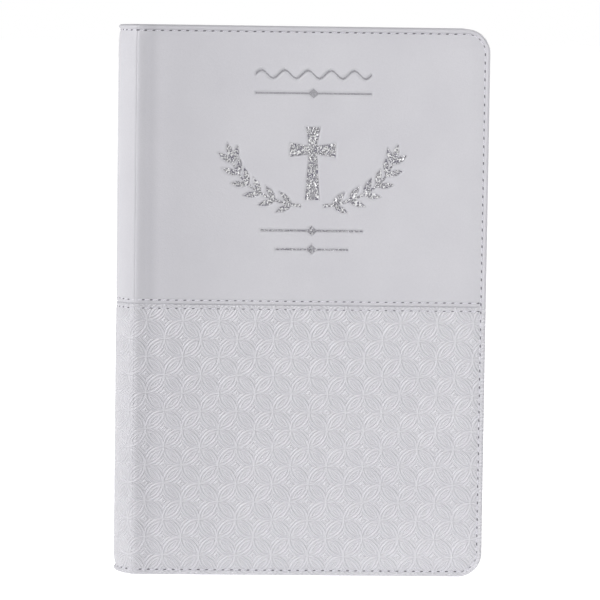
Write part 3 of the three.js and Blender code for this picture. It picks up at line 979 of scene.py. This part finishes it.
# %% Leaf edges and endpapers
def page_edges():
    finish = Finish("page_edges", Specular_IOR_Level=0.25)
    lines = finish.noise(1.0, 3, place=finish.stretch(0.02, 14.0, 0.02))
    bands = finish.noise(1.0, 1, place=finish.stretch(0.01, 2.2, 0.01))
    tone = (lines * 0.7 + bands * 0.3).band(0.36, 0.62)
    colour = finish.blend(tone, (0.55, 0.525, 0.49, 1), (0.78, 0.755, 0.72, 1))
    return finish.done(colour, lines * 0.15 + 0.7, lines * 0.16)


def end_paper(flat=True, name="end_paper"):
    finish = Finish(name, flat=flat, Specular_IOR_Level=0.25)
    fibres = paper_grain(finish, 0.03)
    laid = finish.noise(1.0, 2, place=finish.stretch(0.05, 0.05, 1.3))
    tone = (fibres * 0.75 + laid * 0.25).band(0.35, 0.65)
    colour = finish.blend(tone, (0.69, 0.68, 0.655, 1), (0.76, 0.75, 0.728, 1))
    return finish.done(colour, fibres * 0.1 + 0.8)


print_face, leaf_edges, endpaper = printed_page(), page_edges(), end_paper()
print("papers:", print_face.name, leaf_edges.name, endpaper.name)

# %% [markdown]
# ## Sheets of paper and the linings
# The linings, pastedowns and single leaves are thin sheets with two round corners. Each begins at the
# spine and runs to its own cover or leaf across the gutter, on a grid that is fine there.

# %% Sheet maker
def sheet_columns(low_x, high_x, radius, bend_low, bend_high):
    """Column places as distances from the fore-edge: fine at the round corners and the bend."""
    wide = (high_x - low_x) / MM
    round_end = radius / MM
    start = (high_x - bend_high) / MM
    stop = min((high_x - bend_low) / MM, wide - 0.01)
    runs = [(0, round_end, 1.0), (round_end, start, 6.0), (start, stop, 0.4)]
    return graded(*runs, (stop, wide, 0.6))


def sheet_rows(low_z, high_z, radius):
    tall, round_end = (high_z - low_z) / MM, radius / MM
    middle = tall - 2 * round_end
    last = (tall - round_end, tall, 1.0)
    return graded((0, round_end, 1.0), (round_end, round_end + middle, 6.0), last)


def outline_places(c, r, tall, radius):
    """Rounds both fore-edge corners of a sheet's grid."""
    flipped = r > tall / 2
    near = np.where(flipped, tall - r, r)
    ring = np.minimum(c, near)
    c_out, r_out = round_corner(c, near, radius, ring)
    return c_out, np.where(flipped, tall - r_out, r_out)


def thin_sheet(name, low, high, radius, bend, finishes, replaced):
    """A sheet between two corners of its box, with fine columns in the range that bend gives."""
    columns = sheet_columns(low.x, high.x, radius, *bend)
    bm, c, r = grid_mesh(columns, sheet_rows(low.z, high.z, radius))
    c, r = outline_places(c, r, high.z - low.z, radius)
    level = np.full(len(c), low.y)
    places = np.stack([high.x - c, level, low.z + r], axis=-1)
    set_places(bm, places, places)
    made = bmesh.ops.extrude_face_region(bm, geom=list(bm.faces))
    new = [g for g in made["geom"] if isinstance(g, bmesh.types.BMVert)]
    bmesh.ops.translate(bm, vec=(0, high.y - low.y, 0), verts=new)
    piece = finish_piece(name, bm, *finishes)
    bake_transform(piece)
    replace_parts(piece, replaced)
    return piece


print("a sheet takes", len(sheet_rows(0, HEIGHT, CORNER)), "rows")


# %% [markdown]
# ## Linings and pastedowns
# The lining is a brushed sheet glued over the turned-in leather, and the pastedown is the endpaper's
# outer half glued to it. Both cross the joint, and their grids are fine there.

# %% Linings and pastedowns
def suede(name="lining_suede", flat=True, cloudy=0.5, spread=0.6):
    finish = Finish(name, flat=flat, Specular_IOR_Level=0.2, Sheen_Weight=0.35, Sheen_Roughness=spread)
    nap = finish.noise(2.6, 4)
    tone = nap * (1 - cloudy) + finish.noise(0.06, 3) * cloudy
    colour = finish.blend(tone.band(0.35, 0.65), grey(0.47, 0.08), grey(0.57, 0.06))
    return finish.done(colour, nap * 0.1 + 0.8, nap * 0.08)


lining_suede = suede()
hinge_bend = (HINGE_START[0], HINGE_END[0])
glued_in = []
for which in cover_pieces.values():
    for kind, radius, finish, slot in (
        ("lining", CORNER - 0.6 * MM, lining_suede, "lining_sheet"),
        ("pastedown", PAGE_CORNER, endpaper, "end_paper"),
    ):
        low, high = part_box(f"{kind}_{which}")
        low.x = SPLIT if kind == "lining" else SPLIT + 0.6 * MM
        name = f"{which}_{kind}_sheet"
        thin_sheet(name, low, high, radius, hinge_bend, [finish],
                   f"{kind}_{which}")
        glued_in.append(name)

print("glued inside the covers:", ", ".join(glued_in))

# %% [markdown]
# ## Single leaves
# The flyleaf and the presentation leaf are drawn thinner than the frame's solids, at the middle of
# each one's place. Their grids are fine at the gutter, where a sewn leaf bends as it opens.

# %% Single leaves
LEAF = 0.12 * MM
LEAF_BEND = (GUTTER - 0.5 * MM, GUTTER + 3.5 * MM)
single_leaves = ("front_flyleaf", "presentation_leaf", "back_flyleaf")
for node_name in single_leaves:
    low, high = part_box(node_name)
    middle = (low.y + high.y) / 2
    low = Vector((SPLIT + 1.2 * MM, middle - LEAF / 2, low.z))
    high = Vector((high.x, middle + LEAF / 2, high.z))
    thin_sheet(f"{node_name}_sheet", low, high, PAGE_CORNER, LEAF_BEND, [endpaper],
               node_name)
print("single leaves:", len(single_leaves), "each", round(LEAF / MM, 2), "mm thick")

# %% [markdown]
# ## The sections
# A section is some forty leaves, folded and sewn through the fold. It is made as one sheet that is
# drawn out to the section's thickness, then leaned so that its fold follows the rounded back and its
# fore-edge the hollow front. The fold is pinched round. The faces are printed and the rest is edges.

# %% The sections' places
section_names = sorted(n for n in frame["nodes"] if n.startswith("section_"))
turning = {j["child"]: j for j in frame["joints"]}
first_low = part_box(section_names[0])[0].y
last_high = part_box(section_names[-1])[1].y
PITCH_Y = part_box(section_names[1])[0].y - first_low
AIR = 0.03 * MM
OUTER_IN = 0.76 * MM
PINCH, PINCH_MM = 0.42, 1.5


def back_x(y):
    return SPINE_X - np.sqrt((BLOCK_R - 0.25 * MM) ** 2 - y**2)


print("pitch of the sections in mm:", round(PITCH_Y / MM, 3))


# %% [markdown]
# ## Making the sections
# The turning sections are built in place, without a body. The two in the middle stay with the
# spine. Their fore-edges together form the hollow that a rounded back gives.

# %% The section maker
def section_piece(name, index):
    low_y = first_low + index * PITCH_Y
    high_y = low_y + PITCH_Y - AIR
    outer_y = last_high - OUTER_IN
    wide = FORE_EDGE - float(back_x(outer_y))
    across = wide / MM
    columns = graded((0, 7, 1.0), (7, across - 14, 6.5), (across - 14, across - PINCH_MM, 0.5),
                     (across - PINCH_MM, across, 0.25))
    bm, c, r = grid_mesh(columns, sheet_rows(PAGE_TAIL, PAGE_HEAD, PAGE_CORNER))
    c, r = outline_places(c, r, PAGE_HEAD - PAGE_TAIL, PAGE_CORNER)
    places = np.stack([c, np.zeros(len(c)), PAGE_TAIL + r], axis=-1)
    set_places(bm, places, places)
    made = bmesh.ops.extrude_face_region(bm, geom=list(bm.faces))
    new = {g for g in made["geom"] if isinstance(g, bmesh.types.BMVert)}
    for vertex in new:
        vertex.co.y = 1
    bmesh.ops.recalc_face_normals(bm, faces=bm.faces)
    layer = bm.verts.layers.float_vector["lay"]
    for vertex in bm.verts:
        c, share, z = vertex.co
        to_fold = (wide - c) / (PINCH_MM * MM)
        pinch = PINCH * (1 - min(1.0, math.sqrt(max(0.0, 1 - (1 - min(to_fold, 1.0)) ** 2))))
        share = pinch + share * (1 - 2 * pinch)
        y = low_y + (high_y - low_y) * share
        vertex.co = (float(back_x(y)) + wide - c, y, z)
        vertex[layer] = vertex.co
    for face in bm.faces:
        face.material_index = 0 if abs(face.normal.y) > 0.5 else 1
        face.normal_update()
    piece = finish_piece(f"{name}_leaves", bm, print_face, leaf_edges)
    if name in turning:
        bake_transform(piece)
    else:
        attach(piece, "root")
    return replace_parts(piece, name)


for index, name in enumerate(section_names):
    section_piece(name, index)
print("sections:", len(section_names), "each", round(PITCH_Y / MM, 2), "mm")

# %% [markdown]
# ## The glue line
# Behind the folds lies a thin skin of glue. Its outline is drawn once and spun round the spine's
# centre line, which gives the rounded back in one step. The same function spins the headbands.

# %% Glue line
def spun(ring, axis_z, half_turn, steps):
    """Spins a closed outline about the spine's centre line and caps both ends."""
    bm = bmesh.new()
    verts = [bm.verts.new(p) for p in ring]
    face = bm.faces.new(verts)
    turn = Matrix.Rotation(-half_turn, 4, "Z")
    centre = Vector((SPINE_X, 0, axis_z))
    bmesh.ops.rotate(bm, verts=verts, cent=centre, matrix=turn)
    bmesh.ops.spin(bm, geom=[face], cent=centre, axis=(0, 0, 1), angle=2 * half_turn, steps=steps)
    bmesh.ops.remove_doubles(bm, verts=bm.verts, dist=1e-7)
    copy_places(bm)
    return bm


def glue():
    finish = Finish("binding_glue", Specular_IOR_Level=0.5)
    drips = finish.noise(0.5, 3)
    colour = finish.blend(drips.band(0.4, 0.6), (0.7, 0.64, 0.5, 1), (0.8, 0.76, 0.66, 1))
    return finish.done(colour, drips * 0.3 + 0.3, drips * 0.2)


outer, inner = SPINE_X - BLOCK_R + 0.02 * MM, SPINE_X - BLOCK_R + 0.4 * MM
strip = [(outer, 0, PAGE_TAIL + MM), (inner, 0, PAGE_TAIL + MM),
         (inner, 0, PAGE_HEAD - MM), (outer, 0, PAGE_HEAD - MM)]
glue_line = finish_piece("glue_line", spun(strip, 0, math.radians(44), 24), glue())
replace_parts(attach(glue_line, "root"), "glued_folds")
print("glue line", round((inner - outer) / MM, 2), "mm thick")

# %% [markdown]
# ## Headbands
# A headband is a cord wound with pale and grey silk and glued at each end of the block's back. It is
# a small ring spun along the spine's curve, and its skin swells at each turn of the silk.

# %% Headbands
def silk():
    finish = Finish("band_silk", Roughness=0.45, Sheen_Weight=0.3)
    wound = ((finish.y / 0.9 * 2 * math.pi).cosine() * 0.5 + 0.5).band(0.35, 0.65)
    colour = finish.blend(wound, grey(0.75, 0.03), grey(0.3, 0.14))
    return finish.done(colour, height=(finish.y * 22.0).cosine() * 0.04)


band_silk = silk()
BAND_STEPS = 72
for node_name in ("headband", "tailband"):
    low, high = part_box(node_name)
    radius = (high.z - low.z) / 2
    middle_z = (low.z + high.z) / 2
    ring_x = SPINE_X - BLOCK_R + radius
    ring = [(ring_x + 0.8 * radius * math.cos(a), 0, middle_z + 0.95 * radius * math.sin(a))
            for a in (2 * math.pi * i / 10 for i in range(10))]
    bm = spun(ring, middle_z, math.radians(42), BAND_STEPS)
    for vertex in bm.verts:
        offset = vertex.co - Vector((SPINE_X, 0, middle_z))
        flat = Vector((offset.x, offset.y, 0))
        heart = flat.normalized() * (BLOCK_R - radius) + Vector((SPINE_X, 0, middle_z))
        swell = 1 + 0.07 * math.cos(flat.normalized().y * BLOCK_R / (0.45 * MM) * math.pi)
        vertex.co = heart + (vertex.co - heart) * swell
    piece = finish_piece(f"{node_name}_silk", bm, band_silk)
    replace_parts(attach(piece, "root"), node_name)
print("headband steps:", BAND_STEPS)

# %% [markdown]
# ## Finishes for the frame's own pieces
# The boards, the spine card, the lining behind the spine, the mull, the spine paper and the sewing
# keep the frame's shapes. They still show a little at the head of the spine or when a cover is open,
# so each gets its real surface: grey pulp board, an open woven cloth, and the twisted cord of the
# chain stitches that cross the folds.

# %% Inner finishes
def pulp_board():
    finish = Finish("pulp_board", flat=False, Specular_IOR_Level=0.2)
    fibres = finish.noise(1.6, 5)
    colour = finish.blend(fibres.band(0.35, 0.65), grey(0.24), grey(0.36))
    return finish.done(colour, fibres * 0.1 + 0.85, fibres * 0.1)


def open_cloth():
    finish = Finish("mull_cloth", flat=False, Specular_IOR_Level=0.2)
    weave = (finish.z * 5.2).cosine() * 0.5 + (finish.y * 5.2).cosine() * 0.5
    threads = weave.band(-0.2, 0.5)
    colour = finish.blend(threads, (0.5, 0.48, 0.42, 1), (0.8, 0.78, 0.72, 1))
    return finish.done(colour, finish.noise(2.0) * 0.1 + 0.85, weave * 0.08)


def sewing():
    finish = Finish("sewing_cord", flat=False, Roughness=0.8)
    twist = ((finish.y + finish.z) * 9.0).cosine() * 0.5 + 0.5
    colour = finish.blend(twist, grey(0.55), grey(0.8))
    return finish.done(colour, height=twist * 0.08)


inner_finishes = {
    "mull": open_cloth(),
    "lining_spine": suede("spine_lining", flat=False, cloudy=0, spread=0.5),
    "spine_paper": end_paper(False, "spine_paper"),
}
inner_finishes |= dict.fromkeys(("board_front", "board_back", "spine_card"), pulp_board())
chains = [n for n in frame["nodes"] if n.startswith("sewing_chain_")]
inner_finishes |= dict.fromkeys(chains, sewing())
for node_name, material in inner_finishes.items():
    give(node_name, material)
print("nodes with an inner finish:", len(inner_finishes))

# %% [markdown]
# ## The floor
# The book stands on a wide white table that glows, as a lit table in a studio does, so that hardly
# any shadow shows round the closed book. It glows less in front. Light from below would flatten
# the lattice.

# %% Floor
FLOOR_HALF = 12


def studio_floor():
    bm = bmesh.new()
    bmesh.ops.create_grid(bm, x_segments=1, y_segments=1, size=FLOOR_HALF)
    for vertex in bm.verts:
        vertex.co.z = -0.05 * MM
    finish = Finish("studio_floor", flat=False, Specular_IOR_Level=0.1, Roughness=0.9)
    tone = finish.noise(0.002, 2)
    finish.feed("Base Color", finish.blend(tone, grey(0.5), grey(0.53)))
    away = ((finish.x * MM) ** 2 + (finish.y * MM + 0.75) ** 2).root()
    glow = finish.blend(away.band(0.4, 0.85), grey(0.3), grey(0.97))
    finish.feed("Emission Color", glow)
    finish.shader.inputs["Emission Strength"].default_value = 1
    floor = finish_piece("studio_floor", bm, finish.material)


studio_floor()
print("floor", 2 * FLOOR_HALF, "m wide")


# %% [markdown]
# ## Lights
# One soft light from the upper left rakes across the lattice. A broad one hangs above, a weak one
# fills the right and one behind shows the back. The sky is white at the horizon and dim overhead.

# %% Lights and sky
def soft_light(name, place, target, width, power):
    data = bpy.data.lights.new(name, "AREA")
    data.shape = "DISK"
    data.size = width
    data.energy = power
    light = bpy.data.objects.new(name, data)
    light.location = place
    light.rotation_euler = (Vector(target) - Vector(place)).to_track_quat("-Z", "Y").to_euler()
    bpy.context.scene.collection.objects.link(light)


def pale_world():
    world = bpy.data.worlds.new("studio")
    bpy.context.scene.world = world
    world.use_nodes = True
    nodes, links = world.node_tree.nodes, world.node_tree.links
    place = nodes.new("ShaderNodeTexCoord")
    split = nodes.new("ShaderNodeSeparateXYZ")
    links.new(place.outputs["Generated"], split.inputs[0])
    fade = nodes.new("ShaderNodeMapRange")
    fade.interpolation_type = "SMOOTHSTEP"
    for socket, value in (("From Min", 0.04), ("From Max", 0.2), ("To Min", 1.0), ("To Max", 0.1)):
        fade.inputs[socket].default_value = value
    links.new(split.outputs["Z"], fade.inputs["Value"])
    links.new(fade.outputs[0], nodes["Background"].inputs["Strength"])
    nodes["Background"].inputs["Color"].default_value = (1, 1, 1, 1)


pale_world()
centre = (0, 0, HEIGHT / 2)
soft_light("key", (-1.75, -0.98, 1.75), centre, 0.5, 62)
soft_light("above", (0.1, 0.1, 1.5), (0, 0, 0), 1.0, 1.5)
soft_light("fill", (0.45, -0.5, 0.15), centre, 0.3, 1.6)
soft_light("behind", (0.9, 0.9, 0.6), centre, 0.5, 7)
bpy.context.scene.view_settings.view_transform = "Standard"

# %% [markdown]
# ## Camera
# A long lens from far off keeps the cover's sides nearly parallel. The camera stands a little above
# the middle of the book and a little to the left, so a strip of the spine shows.

# %% Camera
DISTANCE = 1.43
PITCH_DOWN = math.radians(4.8)
FROM_LEFT = math.radians(2.2)
ROLL_LEFT = math.radians(0.8)
LENS = 228.3
camera_data = bpy.data.cameras.new("camera")
camera_data.lens = LENS
camera_data.sensor_width = 36
camera = bpy.data.objects.new("camera", camera_data)
bpy.context.scene.collection.objects.link(camera)
offset = Vector((-math.sin(FROM_LEFT) * math.cos(PITCH_DOWN),
                 -math.cos(FROM_LEFT) * math.cos(PITCH_DOWN), math.sin(PITCH_DOWN)))
camera.location = Vector(centre) + offset * DISTANCE
aim = (-offset).to_track_quat("-Z", "Y")
camera.rotation_euler = (aim.to_matrix() @ Matrix.Rotation(ROLL_LEFT, 3, "Z")).to_euler()
bpy.context.scene.camera = camera
print("camera", round(DISTANCE, 2), "m away with a", round(camera_data.lens), "mm lens")
